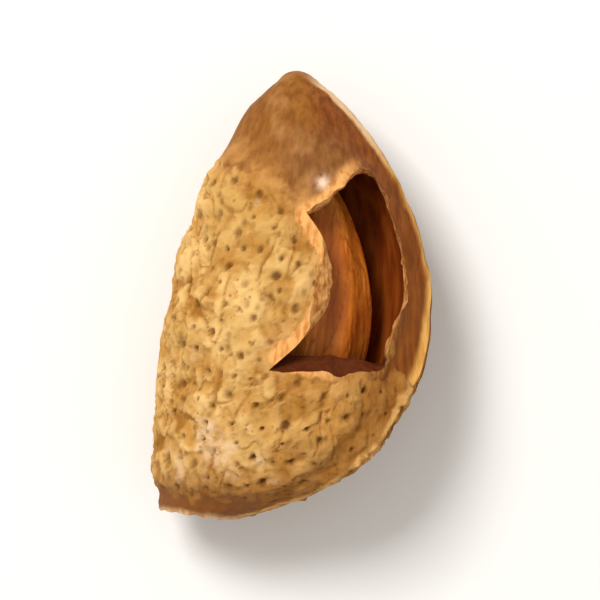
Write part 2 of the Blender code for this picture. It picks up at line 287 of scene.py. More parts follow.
def blown_box(counts):
    """Directions over a ball, and the squares between them, from a box with so many squares each way."""
    directions = []
    found = {}

    def corner(place):
        if place not in found:
            found[place] = len(directions)
            spread = [math.tan(math.pi / 4 * (2 * step / count - 1)) for step, count in zip(place, counts)]
            directions.append(Vector(spread).normalized())
        return found[place]

    squares = []
    for axis in range(3):
        first, second = (axis + 1) % 3, (axis + 2) % 3
        for side in (0, counts[axis]):
            for a in range(counts[first]):
                for b in range(counts[second]):
                    ring = []
                    for step_a, step_b in ((0, 0), (1, 0), (1, 1), (0, 1)):
                        place = [side] * 3
                        place[first], place[second] = a + step_a, b + step_b
                        ring.append(corner(tuple(place)))
                    squares.append(ring if side else ring[::-1])
    return directions, squares


shell_directions, shell_squares = blown_box(FINE_CELLS)
print("squares over the shell", len(shell_squares))

# %% [markdown]
# The hole was broken out of the upper side, close beside the keel. Its outline is drawn as seen from above:
# corners where the wood snapped, and rounded points between them. A Bezier curve could be edited instead,
# but a short list of places can be read and changed here. A Hermite curve leads from each point to the
# next.

# %% Corners of the hole
WINDOW = (
    ("round", 4.3, 8.3),
    ("round", 5.9, 7.4),
    ("round", 7.4, 4.2),
    ("round", 8.3, 0.4),
    ("corner", 7.7, -5.3),
    ("round", 4.2, -5.1),
    ("corner", 0.4, -4.7),
    ("round", 2.4, -2.3),
    ("round", 3.2, 0.4),
    ("round", 2.7, 3.0),
    ("corner", 1.2, 5.0),
    ("round", 2.6, 6.0),
)


def hermite(start, leave, end, arrive, t):
    """A point at t of the curve that leaves start and arrives at end in the given directions."""
    from_start = start * (2 * t**3 - 3 * t**2 + 1) + leave * (t**3 - 2 * t**2 + t)
    return from_start + end * (3 * t**2 - 2 * t**3) + arrive * (t**3 - t**2)


print("corners where the wood snapped", sum(kind == "corner" for kind, _, _ in WINDOW))

# %% [markdown]
# Broken wood has a ragged edge. A modifier could displace a smooth curve, but the pits, the cut and the
# paint all have to know the same edge. So the curve is walked in small steps, and noise pushes each step
# in or out. A coarse outline with the solid's own steps tells where pits may not be, and a fine one cuts
# the hole. A tree of its points finds the nearest piece of edge quickly.

# %% Outline of the hole
WINDOW_STEP, WINDOW_FINE_STEP = 0.9, 0.16
WINDOW_RAGGED, WINDOW_RAGGED_SPREAD = 0.22, 1.1


def window_outline(spacing):
    """The hole's outline with points about spacing apart, and its middle."""
    count = len(WINDOW)
    points = [Vector((x, y)) for _, x, y in WINDOW]
    outline = []
    for k, (kind, _, _) in enumerate(WINDOW):
        after = (k + 1) % count
        start, end = points[k], points[after]
        leave = (end - points[k - 1]) / 2 if kind == "round" else end - start
        arrive = (points[(k + 2) % count] - start) / 2 if WINDOW[after][0] == "round" else end - start
        steps = max(1, round((end - start).length / spacing))
        outline += [hermite(start, leave, end, arrive, step / steps) for step in range(steps)]
    middle = sum(outline, Vector((0, 0))) / len(outline)
    ragged = []
    for point in outline:
        push = WINDOW_RAGGED * noise.noise(point.to_3d() / WINDOW_RAGGED_SPREAD)
        ragged.append(point + (point - middle).normalized() * push)
    return ragged, middle


coarse_outline, _ = window_outline(WINDOW_STEP)
fine_outline, window_middle = window_outline(WINDOW_FINE_STEP)
outline_tree = KDTree(len(fine_outline))
for number, corner_point in enumerate(fine_outline):
    outline_tree.insert(corner_point.to_3d(), number)
outline_tree.balance()
print("points round the hole", len(fine_outline))

# %% [markdown]
# A pit that met the hole's edge would leave a loose sliver of wood. It could be picked out by hand, but
# not after every new draw. So a test asks whether a point lies within the outline or close beside it, by
# counting how often a line from it crosses the edge. A second helper gives the skin's outward and
# lengthwise directions at a place, from one small step each way.

# %% Room for a pit
PIT_TO_WINDOW = 1.15
SLOPE_STEP = 0.004


def near_window(point):
    """Whether a point of the rolled nut's upper half lies in the hole or close to it."""
    if point.z < 0:
        return False
    flat = Vector((point.x, point.y))
    inside = False
    for k, start in enumerate(coarse_outline):
        end = coarse_outline[(k + 1) % len(coarse_outline)]
        if (start.y > flat.y) != (end.y > flat.y):
            cross = start.x + (flat.y - start.y) * (end.x - start.x) / (end.y - start.y)
            inside ^= flat.x < cross
    return inside or min((flat - point).length for point in coarse_outline) < PIT_TO_WINDOW


def surface_frame(s, turn):
    """A point of the outside with its outward direction and its direction along the nut."""
    point = outer_point(s, turn)
    along = (outer_point(s + SLOPE_STEP, turn) - point).normalized()
    sideways = (outer_point(s, turn + SLOPE_STEP) - point).normalized()
    return point, along.cross(sideways).normalized(), along


print("no pit in the middle of the hole:", near_window(window_middle.to_3d()))

# %% [markdown]
# Pits are where bundles of fibres passed from the flesh into the stone. A texture could show them, but no
# light would catch their edges. They are thrown at the skin like darts instead, from a seeded draw, and
# one that lands too near another is dropped, so they are spread as evenly as on a real nut. The draw is
# the solid's, so each large pit lies over one of the solid's.

# %% Large pits
PIT_SEED = 11
PIT_TRIES = 9000
PIT_SPACING = 1.95
PIT_RADIUS = (0.34, 0.60)
PIT_DEPTH = (0.38, 0.66)
PIT_TO_KEEL, PIT_TO_SPOT = 3.0, 0.55
PIT_FIRST, PIT_LAST = 0.06, 0.95


def find_pits():
    """Each pit's middle, outward direction, length direction, radius and depth."""
    draw = random.Random(PIT_SEED)
    found = []
    for _ in range(PIT_TRIES):
        s = draw.uniform(PIT_FIRST, PIT_LAST)
        turn = draw.uniform(0, math.tau)
        radius = draw.uniform(*PIT_RADIUS)
        depth = draw.uniform(*PIT_DEPTH)
        point, outward, along = surface_frame(s, turn)
        rolled = ROLLED @ point
        on_keel = math.cos(turn) > 0 and abs(untwisted(point)[1]) < PIT_TO_KEEL
        on_cap = cap_share(*point) > 0
        on_spot = (DOWN @ rolled).z < PIT_TO_SPOT * MM
        if on_keel or on_cap or on_spot or near_window(rolled):
            continue
        if all((point - other[0]).length > PIT_SPACING for other in found):
            found.append((point, outward, along, radius, depth))
    return found


large_pits = find_pits()
print("large pits", len(large_pits))

# %% [markdown]
# Small pits fill the room between the large ones, and each has to keep clear of all others. Comparing
# every dart with every pit would be slow, and slower with each pit. A coarse grid of cells remembers
# which places are taken instead, so a dart is compared only with the few pits in the cells around it.

# %% Places that are taken
SMALL_SPACING = 1.12


def cell_of(point):
    return tuple(math.floor(value / SMALL_SPACING) for value in point)


def is_free(point, taken):
    here = cell_of(point)
    steps = (-1, 0, 1)
    for cell in ((here[0] + a, here[1] + b, here[2] + c) for a in steps for b in steps for c in steps):
        if any((point - other).length < SMALL_SPACING for other in taken.get(cell, ())):
            return False
    return True


print("grid cell of the first large pit", cell_of(large_pits[0][0]))

# %% [markdown]
# The small pits come from a second draw, so that a change to them leaves the large ones where they are. A
# scatter made with geometry nodes could place them too, but its points wouldn't be at hand for the
# relief. A tree of all pits later finds those that lie near a point.

# %% Small pits
SMALL_SEED = 5
SMALL_TRIES = 7000
SMALL_RADIUS = (0.17, 0.36)
SMALL_DEPTH = (0.20, 0.42)


def find_small_pits(others):
    draw = random.Random(SMALL_SEED)
    taken = {}
    for pit in others:
        taken.setdefault(cell_of(pit[0]), []).append(pit[0])
    found = []
    for _ in range(SMALL_TRIES):
        s, turn = draw.uniform(PIT_FIRST, PIT_LAST), draw.uniform(0, math.tau)
        radius, depth = draw.uniform(*SMALL_RADIUS), draw.uniform(*SMALL_DEPTH)
        point = outer_point(s, turn)
        if is_free(point, taken):
            taken.setdefault(cell_of(point), []).append(point)
            found.append((*surface_frame(s, turn), radius, depth))
    return found


pits = large_pits + find_small_pits(large_pits)
pit_tree = KDTree(len(pits))
for number, pit in enumerate(pits):
    pit_tree.insert(pit[0], number)
pit_tree.balance()
print("pits with the small ones", len(pits))

# %% [markdown]
# Seen close, a pit isn't a round hole but a frayed slit with soft shoulders, and no two are alike: some
# are deep and dark, others nearly filled with crust. A stamp copied onto each place would show that it
# was copied. Here the depth at a point is worked out from the pits around it, and noise frays each one.

# %% Depth of a pit
PIT_REACH = 1.35
PIT_WAIST = 0.62
PIT_SLIT = 1.25
PIT_FRAY, PIT_FRAY_SPREAD = 0.35, 0.40
PIT_WALL, PIT_BRIM = 0.30, 1.10
PIT_FILLED, PIT_HASH = 0.6, 7.3


def pit_share(point):
    """How dark a pit is at this point, from 0 to 1, and how deep in millimetres."""
    share, deepest = 0.0, 0.0
    for _, number, _ in pit_tree.find_range(point, PIT_REACH):
        middle, outward, along, radius, depth = pits[number]
        offset = point - middle
        across = outward.cross(along)
        flat = math.hypot(offset.dot(along) / PIT_SLIT, offset.dot(across)) / (radius * PIT_WAIST)
        flat += PIT_FRAY * noise.noise(point / PIT_FRAY_SPREAD)
        open_share = 1 - PIT_FILLED * (0.5 + 0.5 * noise.noise(middle * PIT_HASH))
        here = open_share * (1 - smoothstep(PIT_WALL, PIT_BRIM, flat))
        if here * depth > deepest:
            share, deepest = here, here * depth
    return share, deepest


print("depth in the first pit", round(pit_share(pits[0][0])[1], 2), "mm")

# %% [markdown]
# Between the pits lie many finer pores, too many to place one by one. A cell noise scatters them: its
# cells fill the room, and where the skin passes near the middle of one, there is a pore. The skin meets
# the cells at different heights, so the pores differ in size. The line of points along the back is there
# to try out this step and the next ones.

# %% Pores
PORE_CELL, PORE_LONG = 0.92, 1.6
PORE_CORE, PORE_RIM = 0.08, 0.32
PORE_DEPTH = 0.14


def pore_share(point):
    distances, _ = noise.voronoi(Vector((point.x, point.y / PORE_LONG, point.z)) / PORE_CELL)
    return 1 - smoothstep(PORE_CORE, PORE_RIM, distances[0])


test_line = [outer_point(step / 200, math.pi) for step in range(20, 150)]
mean_pore = sum(pore_share(point) for point in test_line) / len(test_line)
print("mean share of pores along the back", round(mean_pore, 3))

# %% [markdown]
# The hole's left edge has a bare lip that its right edge lacks. A vertex group could mark it, but there
# is no mesh yet. So the next steps ask how far a point is from the hole's outline and on which side of
# the hole it lies, and both follow from the nearest point of the outline. A point of the nut's lower half
# gets a far distance.

# %% Distance to the hole
FAR = 9.0
LEFT_BLUR = 0.5
LEFT_FROM, LEFT_TO = 0.3, -0.9


def to_window(point):
    """Distance from the hole's outline as seen from above, and the side of the hole: 1 left, 0 right."""
    rolled = ROLLED @ point
    if rolled.z < 0:
        return FAR, 0.0
    flat = Vector((rolled.x, rolled.y, 0))
    nearest, _, distance = outline_tree.find(flat)
    left = smoothstep(LEFT_BLUR, -LEFT_BLUR, (nearest.x - window_middle.x) / max(distance, 1.0))
    return distance, smoothstep(LEFT_FROM, LEFT_TO, nearest.x - window_middle.x) * left


print("from the top of the nut to the edge", round(to_window(outer_point(0.5, math.pi / 2))[0], 1), "mm")

# %% [markdown]
# The crust is a mealy, corky layer over smooth brown wood. It has worn away on the cap, beside the keel,
# round the base and on the hole's own lip, and its edge there is a ragged little step. A painted mask
# would have to be made anew for each mesh. A function says how far a point lies within bare wood, and the
# share of crust that follows from it decides both the height of the skin and its colour.

# %% Where the crust is
EDGE_SCALLOP, EDGE_SCALLOP_SPREAD = 0.9, 1.9
EDGE_FRAY, EDGE_FRAY_SPREAD = 0.75, 0.8
EDGE_CRUMB, EDGE_CRUMB_SPREAD = 0.34, 0.3
EDGE_STEP = 0.10
BAND_HALF, BAND_NARROW, BAND_LOW_Y, BAND_HIGH_Y = 2.4, -0.4, -6.5, -3.5
COLLAR_TOP, COLLAR_FRAY = 2.0, 0.5
LIP_WIDE, LIP_NARROW, LIP_FRAY = 0.95, 0.2, 0.6


def bare_reach(point):
    """How far a point lies within bare wood, in millimetres, and below 0 on the crust."""
    fray = EDGE_FRAY * noise.noise(point / EDGE_FRAY_SPREAD)
    fray += EDGE_CRUMB * noise.noise(point / EDGE_CRUMB_SPREAD)
    scallop = EDGE_SCALLOP * noise.noise(point / EDGE_SCALLOP_SPREAD)
    across, up = untwisted(point)
    half = BAND_NARROW + (BAND_HALF - BAND_NARROW) * smoothstep(BAND_LOW_Y, BAND_HIGH_Y, point.y)
    beside_keel = half - abs(up) if across > 0 else -FAR
    distance, left = to_window(point)
    lip = LIP_NARROW + (LIP_WIDE - LIP_NARROW) * left - distance
    collar = BASE_Y + COLLAR_TOP - point.y + COLLAR_FRAY * noise.noise(point / EDGE_FRAY_SPREAD)
    cap = past_cap_edge(*point) + scallop
    return max(cap + fray, beside_keel + fray, lip + fray * LIP_FRAY, collar + fray)


def crust_share(point):
    """1 where the crust still covers the wood and 0 where it has rubbed off."""
    return smoothstep(EDGE_STEP, -EDGE_STEP, bare_reach(point))


print("crust along the back", round(sum(crust_share(point) for point in test_line) / len(test_line), 2))

# %% [markdown]
# Close up, the crust is a dry bark: flakes stand on it, crumbs lie between them, and creases run along
# the nut. A Displace modifier takes one texture at a time. Functions can be added, and the paint can ask
# for a single one of them later, so that its colour lies exactly on its shape.

# %% Texture of the crust
FLAKE_HEIGHT, FLAKE_SPREAD, FLAKE_LEVEL, FLAKE_EDGE = 0.12, 1.7, -0.06, 0.07
CRUMB_HEIGHT, CRUMB_SPREAD = 0.09, 0.40
KNOB_HEIGHT, KNOB_SPREAD = 0.17, 1.15
SWELL_HEIGHT, SWELL_SPREAD = 0.22, 2.6
CREASE_DEPTH, CREASE_SPREAD, CREASE_LONG, CREASE_WIDTH = 0.14, 1.5, 2.2, 0.05
OCTAVES = 3


def stretched(point, spread, long):
    return Vector((point.x, point.y / long, point.z)) / spread


def flake_share(point):
    level = noise.fractal(point / FLAKE_SPREAD, 1.0, 2.0, OCTAVES)
    return smoothstep(FLAKE_LEVEL, FLAKE_LEVEL + FLAKE_EDGE, level)


def crease_share(point):
    return bump(noise.noise(stretched(point, CREASE_SPREAD, CREASE_LONG)), CREASE_WIDTH)


def crust_height(point):
    """Height of the crust's own flakes, crumbs and lumps over its mean, without its pits."""
    height = FLAKE_HEIGHT * (flake_share(point) - 1)
    height += CRUMB_HEIGHT * noise.noise(point / CRUMB_SPREAD)
    height += KNOB_HEIGHT * noise.noise(point / KNOB_SPREAD)
    height += SWELL_HEIGHT * noise.noise(point / SWELL_SPREAD)
    return height - CREASE_DEPTH * crease_share(point)


crust_heights = [crust_height(point) for point in test_line]
print("crust from", round(min(crust_heights), 2), "to", round(max(crust_heights), 2), "mm off its mean")

# %% [markdown]
# Now all of it is put in one sum: the step down from the crust to the wood, the crust's own texture with
# its pits and pores, and on the wood only faint lengthwise fibres and dents. A row of modifiers would
# pile them up. In one sum, a pit and a pore at one place count only as the deeper of the two.

# %% Fine relief
FIBRE_HEIGHT, FIBRE_SPREAD, FIBRE_LONG = 0.035, 0.34, 10.0
DENT_HEIGHT, DENT_SPREAD = 0.10, 1.8
BASE_ROUGH, BASE_ROUGH_SPREAD, BASE_ROUGH_LONG = 0.16, 0.55, 1.6
BASE_ROUGH_LOW_Y, BASE_ROUGH_HIGH_Y = -16.0, -14.4
THINNED, THINNED_SMOOTH = 1.6, 0.6


def fine_relief(point):
    """How far the fine skin lies outside the plain one, in millimetres."""
    crust = crust_share(point)
    thinned = smoothstep(-THINNED, 0, bare_reach(point))
    height = CAP_SETBACK * (cap_share(*point) - thinned)
    on_crust = crust_height(point) - max(pit_share(point)[1], PORE_DEPTH * pore_share(point))
    on_wood = FIBRE_HEIGHT * noise.noise(stretched(point, FIBRE_SPREAD, FIBRE_LONG))
    on_wood += DENT_HEIGHT * noise.noise(point / DENT_SPREAD)
    at_base = 1 - smoothstep(BASE_ROUGH_LOW_Y, BASE_ROUGH_HIGH_Y, point.y)
    on_wood += BASE_ROUGH * at_base * noise.noise(stretched(point, BASE_ROUGH_SPREAD, BASE_ROUGH_LONG))
    return height + crust * (1 - THINNED_SMOOTH * thinned) * on_crust + (1 - crust) * on_wood


reliefs = [fine_relief(point) for point in test_line]
print("fine relief from", round(min(reliefs), 2), "to", round(max(reliefs), 2), "mm")

# %% [markdown]
# At the base is the scar where the stalk sat: a sunken oval with a crumbly floor and a wavering rim. A
# tool cut into the skin would leave a sharp edge. The skin itself dips here instead: directions within a
# small cone at the base draw the scar, from its rim to its middle.

# %% The scar
SCAR_RIM, SCAR_SLOPE, SCAR_DEPTH = 0.82, 0.30, 0.55
SCAR_WANDER, SCAR_WANDER_RATE = 0.16, 1.7
SCAR_ROUGH, SCAR_ROUGH_SPREAD, SCAR_REACH = 0.22, 0.7, 12
scar_edge = [outer_point(SCAR_FROM, turn) for turn in around]
scar_middle = sum(scar_edge, Vector()) / len(scar_edge)


def skin_point(direction):
    s = (1 + direction.y) / 2
    turn = math.atan2(direction.z, direction.x)
    if s >= SCAR_FROM:
        return outer_point(min(s, 1.0), turn)
    share = math.sqrt(max(s, 0) / SCAR_FROM)
    round_scar = Vector((math.cos(turn), 0, math.sin(turn)))
    rim = SCAR_RIM + SCAR_WANDER * noise.noise(round_scar * SCAR_WANDER_RATE)
    rough = SCAR_ROUGH * noise.noise(Vector((direction.x, 0, direction.z)) * SCAR_REACH / SCAR_ROUGH_SPREAD)
    sunk = (SCAR_DEPTH + rough) * (1 - smoothstep(rim - SCAR_SLOPE, rim, share))
    return scar_middle + (outer_point(SCAR_FROM, turn) - scar_middle) * share + Vector((0, sunk, 0))


print("middle of the scar", [round(value, 2) for value in scar_middle])

# %% [markdown]
# The skin is drawn over the blown-up box, and each point then moves along its own normal by its relief. A
# Displace modifier would do that with a texture, but not with a function. Close to the apex, where all
# turns meet in one point, the relief calms down. Whatever would pass the box of the solids is moved back
# to its side, which leaves the flat spot underneath.

# %% The shell before it is hollowed
RELIEF_CALM_FROM, RELIEF_CALM_TO = 0.985, 1.0


def mesh_object(name, points, faces):
    """A new object from points and faces, placed as they are."""
    mesh = bpy.data.meshes.new(name)
    mesh.from_pydata(points, [], faces)
    obj = bpy.data.objects.new(name, mesh)
    bpy.context.collection.objects.link(obj)
    return obj


def grow_shell():
    """The outside of the shell as a closed mesh in the frame."""
    points = [skin_point(direction) for direction in shell_directions]
    shell = mesh_object("almond_shell", points, shell_squares)
    normals = [normal.vector.copy() for normal in shell.data.vertex_normals]
    for vertex, normal, direction in zip(shell.data.vertices, normals, shell_directions):
        calm = 1 - smoothstep(RELIEF_CALM_FROM, RELIEF_CALM_TO, (1 + direction.y) / 2)
        placed = PLACE @ (vertex.co + normal * fine_relief(vertex.co) * calm)
        for axis in range(3):
            placed[axis] = min(max(placed[axis], cad_low[axis]), cad_high[axis])
        vertex.co = placed
    return shell


shell = grow_shell()
print("outside", len(shell.data.vertices), "points")

# %% [markdown]
# The hollow and the kernel are smooth closed forms. A UV sphere would pinch at their ends, so the
# blown-up box serves them too, with fewer squares. One helper draws it over any surface that is given by
# share and turn. A second one gives all faces of a mesh the same material slot, and a cut passes that
# slot on.

# %% Smooth closed forms
OUTSIDE, BREAK, INSIDE = 0, 1, 2


def grow(name, directions, squares, surface):
    """A closed mesh in the frame: the blown-up box, drawn on a surface of share and turn."""
    points = []
    for direction in directions:
        share = min(max((1 + direction.y) / 2, 0.0), 1.0)
        points.append(PLACE @ surface(share, math.atan2(direction.z, direction.x)))
    return mesh_object(name, points, squares)


def fill_slot(obj, number):
    for face in obj.data.polygons:
        face.material_index = number


print("material slots", {"outside": OUTSIDE, "break": BREAK, "inside": INSIDE})

# %% [markdown]
# Inside, the shell is a smooth hollow with faint veins. It could be an inner copy of the skin, but a
# simple egg that is cut out leaves the walls thick at the ends, as they really are. Its faces have a slot
# of their own, so the inner wall can be painted apart.

# %% Hollow
CAVITY_BASE_Y, CAVITY_APEX_Y = -12.8, 11.2
CAVITY_HALF_WIDTH, CAVITY_HALF_THICKNESS = 7.1, 5.2
CAVITY_X = 0.1
CAVITY_RISE, CAVITY_FALL = 0.45, 0.46
CAVITY_CELLS = (38, 66, 28)
VEIN_HEIGHT, VEIN_SPREAD, VEIN_LONG = 0.05, 0.8, 5.0


def cavity_point(s, turn):
    profile = egg(s, CAVITY_RISE, CAVITY_FALL)
    across, up = section(turn, CAVITY_HALF_WIDTH * profile, CAVITY_HALF_THICKNESS * profile)
    y = CAVITY_BASE_Y + (CAVITY_APEX_Y - CAVITY_BASE_Y) * s
    x = CAVITY_X + bent_axis((y - BASE_Y) / (APEX_Y - BASE_Y))
    point = Vector((x + across, y, up))
    inward = Vector((across, 0, up)).normalized() * VEIN_HEIGHT
    return point - inward * (0.5 + 0.5 * noise.noise(stretched(point, VEIN_SPREAD, VEIN_LONG)))


hollow = grow("hollow", *blown_box(CAVITY_CELLS), cavity_point)
fill_slot(hollow, INSIDE)
print("hollow", [round(side / MM, 1) for side in hollow.dimensions])

# %% [markdown]
# The hole shows how the wood broke: splinters stand along its edge, its left side split at a slant and
# shows as a sloping lip, and a ledge is left at its lower edge. A cutter with one outline all the way
# down would look punched, so each height has an outline of its own, a little flared.

# %% The hole's outline at each height
WINDOW_FLARE = 1.12
WINDOW_FLOOR, WINDOW_TOP = 1.0, 11.0
LAYER, FRAYED_TOP = 0.18, 9.0
LEAN, LEAN_FROM, LEAN_SIDE = 0.7, 5.2, (0.2, 0.9)
LEDGE, LEDGE_TOP, LEDGE_FLOOR, LEDGE_SIDE = 0.62, 6.6, 4.8, (0.3, 1.0)
LEDGE_CALM = 0.65
SPLINTER, SPLINTER_SPREAD, SPLINTER_TALL = 0.28, 1.0, 1.6
FIBRE_END, FIBRE_END_SPREAD, FIBRE_END_TALL = 0.09, 0.25, 3.0


def hole_ring(height):
    """The hole's outline at a height above the suture, frayed by fibres that run up the wall."""
    ring = []
    for point in fine_outline:
        outward = (point - window_middle).normalized()
        flared = window_middle + (point - window_middle) * (
            1 + (WINDOW_FLARE - 1) * (height - WINDOW_FLOOR) / (WINDOW_TOP - WINDOW_FLOOR)
        )
        left = smoothstep(*LEAN_SIDE, -outward.x)
        push = LEAN * left * min(max(height - LEAN_FROM, 0), FRAYED_TOP - LEAN_FROM)
        low = smoothstep(*LEDGE_SIDE, -outward.y)
        push -= LEDGE * low * max(LEDGE_TOP - max(height, LEDGE_FLOOR), 0)
        splinter = Vector((point.x, point.y, height / SPLINTER_TALL)) / SPLINTER_SPREAD
        fibre = Vector((point.x, point.y, height / FIBRE_END_TALL)) / FIBRE_END_SPREAD
        frayed = SPLINTER * noise.noise(splinter) + FIBRE_END * noise.noise(fibre)
        push += (1 - LEDGE_CALM * low) * frayed
        flared += outward * push
        ring.append(DOWN @ Vector((flared.x, flared.y, height)))
    return ring


print("first point of the lowest ring", [round(value / MM, 2) for value in hole_ring(WINDOW_FLOOR)[0]])

# %% [markdown]
# The rings are stacked and joined into one closed block. An extruded curve would make such a block too,
# but with the same outline from bottom to top. The faces are made without care for which side is out.
# Blender's own repair turns them all outward, which the cut needs to tell inside from outside.

# %% Block of the hole
def hole_block():
    layers = math.ceil((FRAYED_TOP - WINDOW_FLOOR) / LAYER)
    heights = [WINDOW_FLOOR + LAYER * layer for layer in range(layers)] + [WINDOW_TOP]
    count = len(fine_outline)
    points = [point for height in heights for point in hole_ring(height)]
    faces = [tuple(range(count))[::-1], tuple(range(len(points) - count, len(points)))]
    for layer in range(layers):
        for k in range(count):
            low, after = layer * count + k, layer * count + (k + 1) % count
            faces.append((low, after, after + count, low + count))
    return mesh_object("hole", points, faces)


hole = hole_block()
fix = bmesh.new()
fix.from_mesh(hole.data)
bmesh.ops.recalc_face_normals(fix, faces=fix.faces)
fix.to_mesh(hole.data)
fix.free()
fill_slot(hole, BREAK)
print("hole block", len(hole.data.polygons), "faces")

# %% [markdown]
# Both tools are cut from the shell with the Boolean modifier. Its manifold solver is quick on meshes of
# this size, and every piece here is closed, which is what that solver asks for. The modifier is applied
# at once, so that the masks of the next steps can be worked out on the finished mesh.

# %% Cutting
def cut(target, tool):
    """Cuts a tool out of the target, keeps the result as the target's mesh and removes the tool."""
    modifier = target.modifiers.new(tool.name, "BOOLEAN")
    modifier.operation = "DIFFERENCE"
    modifier.solver = "MANIFOLD"
    modifier.object = tool
    depsgraph = bpy.context.evaluated_depsgraph_get()
    carved = bpy.data.meshes.new_from_object(target.evaluated_get(depsgraph))
    target.modifiers.clear()
    target.data = carved
    bpy.data.objects.remove(tool)


for tool in (hollow, hole):
    cut(shell, tool)
slots_used = [face.material_index for face in shell.data.polygons]
print("faces outside, broken, inside", [slots_used.count(number) for number in (OUTSIDE, BREAK, INSIDE)])

# %% [markdown]
# Where two surfaces cross, a cut can leave slivers thinner than a hair. They don't show, but a mesh that
# others will use should be closed. Corners closer than a hundredth of a millimetre are joined, corners
# that only two edges meet at are taken out, and then every edge has a face on both sides.

# %% Welding
WELD = 0.01


def weld(obj):
    """Joins corners that lie almost on one spot and drops what no face needs; counts the open edges."""
    work = bmesh.new()
    work.from_mesh(obj.data)
    bmesh.ops.remove_doubles(work, verts=work.verts, dist=WELD * MM)
    bmesh.ops.dissolve_degenerate(work, edges=work.edges, dist=WELD * MM)
    idle = [vert for vert in work.verts if len(vert.link_edges) == 2]
    bmesh.ops.dissolve_verts(work, verts=idle)
    bare = [edge for edge in work.edges if not edge.link_faces]
    bmesh.ops.delete(work, geom=bare, context="EDGES")
    unshared = sum(len(edge.link_faces) != 2 for edge in work.edges)
    work.to_mesh(obj.data)
    work.free()
    return unshared


print("edges that lack a face", weld(shell))

# %% [markdown]
# Colour has to know what the shape knows: where there is crust, a pit or a crease. An image could hold
# that, but only for one unwrapping of the skin. Named values at the mesh's own points need none. Each
# point of the finished mesh is led back to the drawing, and a function is asked there, so colour and
# height agree everywhere.

# %% Values kept on a mesh
def store(obj, names, measure):
    """Asks measure at each point of a mesh and keeps its answers under the given names."""
    answers = [measure(UNPLACE @ vertex.co) for vertex in obj.data.vertices]
    for name, values in zip(names, zip(*answers)):
        attribute = obj.data.attributes.new(name, "FLOAT", "POINT")
        attribute.data.foreach_set("value", values)


print("values will be asked at", len(shell.data.vertices), "points")

# %% [markdown]
# Where crumb has freshly come off, the crust is paler: in a large patch above the base, and in small ones
# elsewhere. Blobs painted on would look placed. One soft bump for the large patch is added to a noise
# instead, and a single threshold cuts ragged patches out of both.

# %% Pale patches
PALE_X, PALE_Y, PALE_WIDE, PALE_LONG = -3.0, -12.2, 3.7, 2.9
PALE_SIDE = (-1, 1)
PALE_SPREAD = 1.5
PALE_FROM, PALE_TO = 0.36, 0.80
PALE_PATCH, PALE_NOISE, PALE_BASE = 0.52, 0.5, 0.10


def pale_share(point, rolled):
    """Where pale fresh crumb shows: a large patch above the base and a few small ones elsewhere."""
    spot = bump(math.hypot((rolled.x - PALE_X) / PALE_WIDE, (rolled.y - PALE_Y) / PALE_LONG), 1.0)
    spot *= smoothstep(*PALE_SIDE, rolled.z)
    level = noise.fractal(point / PALE_SPREAD, 1.0, 2.0, OCTAVES)
    return smoothstep(PALE_FROM, PALE_TO, PALE_PATCH * spot + PALE_NOISE * level + PALE_BASE)


above_base = [outer_point(0.15, turn) for turn in around]
pale_there = [pale_share(point, ROLLED @ point) for point in above_base]
print("pale above the base from", round(min(pale_there), 2), "to", round(max(pale_there), 2))

# %% [markdown]
# These are the answers that the paint of the skin will need: crust or bare wood, how thin or how freshly
# bare it is, how dark a pit is, which flakes stand proud, where a pale patch lies, and where painted shade
# darkens the lower right side, away from the light.
# Textures in the material alone couldn't tell. The functions that raised the relief are asked once more
# instead.

# %% Masks of the surface
PORE_DARKNESS = 0.5
FADED = 2.4
PROUD_LOW, PROUD_HIGH = -0.24, 0.10
# Painted shade: the crust turns tan towards the lower right, the side away from the light.
SHADE_SLOPE_X, SHADE_SLOPE_Y, SHADE_MIDDLE_Y = 0.9, -0.5, -9.0
SHADE_FROM, SHADE_TO = -2.5, 4.0
SHADE_WANDER, PATCH_SPREAD = 2.5, 3.5
SURFACE_VALUES = ("crust", "thinned", "fading", "dark", "proud", "crease", "pale", "lower_right_shade")


def surface_masks(point):
    """What covers this point: crust, pit, crumb and patch, and how much painted shade it gets towards the
    lower right.
    """
    rolled = ROLLED @ point
    crust = crust_share(point)
    reach = bare_reach(point)
    thinned = smoothstep(-THINNED, 0, reach)
    fading = 1 - smoothstep(0, FADED, reach)
    # Pits and pores are darkened: partly their own darker tone, partly painted shade in the hollows.
    dark = crust * max(pit_share(point)[0], PORE_DARKNESS * pore_share(point))
    # Flakes that stand proud keep the pale straw; the crust between them is painted browner, partly its own
    # tone and partly painted shade in the hollows.
    proud = smoothstep(PROUD_LOW, PROUD_HIGH, crust_height(point))
    # Painted shade: a slope across the nut, bent by noise, darkens the lower right side, which faces away
    # from the light.
    slope = SHADE_SLOPE_X * rolled.x + SHADE_SLOPE_Y * (rolled.y - SHADE_MIDDLE_Y)
    lower_right_shade = smoothstep(SHADE_FROM, SHADE_TO, slope + SHADE_WANDER * noise.noise(point / PATCH_SPREAD))
    return crust, thinned, fading, dark, proud, crease_share(point), pale_share(point, rolled), lower_right_shade


store(shell, SURFACE_VALUES, surface_masks)
print("masks of the surface", SURFACE_VALUES)

# %% [markdown]
# Other colours follow from where a point lies: along the keel, on the cap, by the hole, at the painted
# glint beside it, on its ledge, which gets a painted shadow, or on the scar. Texture coordinates give a
# place in the room, but not across a twisted section. So the places in the untwisted drawing are stored
# too. Once the masks are there, the shading is set smooth, with sharp edges only at the break.

# %% Masks of the place
MAUVE_X, MAUVE_SLOPE, MAUVE_WANDER, MAUVE_BLUR = 1.0, 0.16, 0.8, 0.5
# Where the painted highlight sits: a small glint on the cap at the hole's upper left corner.
GLINT_X, GLINT_Y, GLINT_SIZE, GLINT_SIDE = 1.9, 7.4, 0.42, (0, 2)
LIP_TINT = 1.3
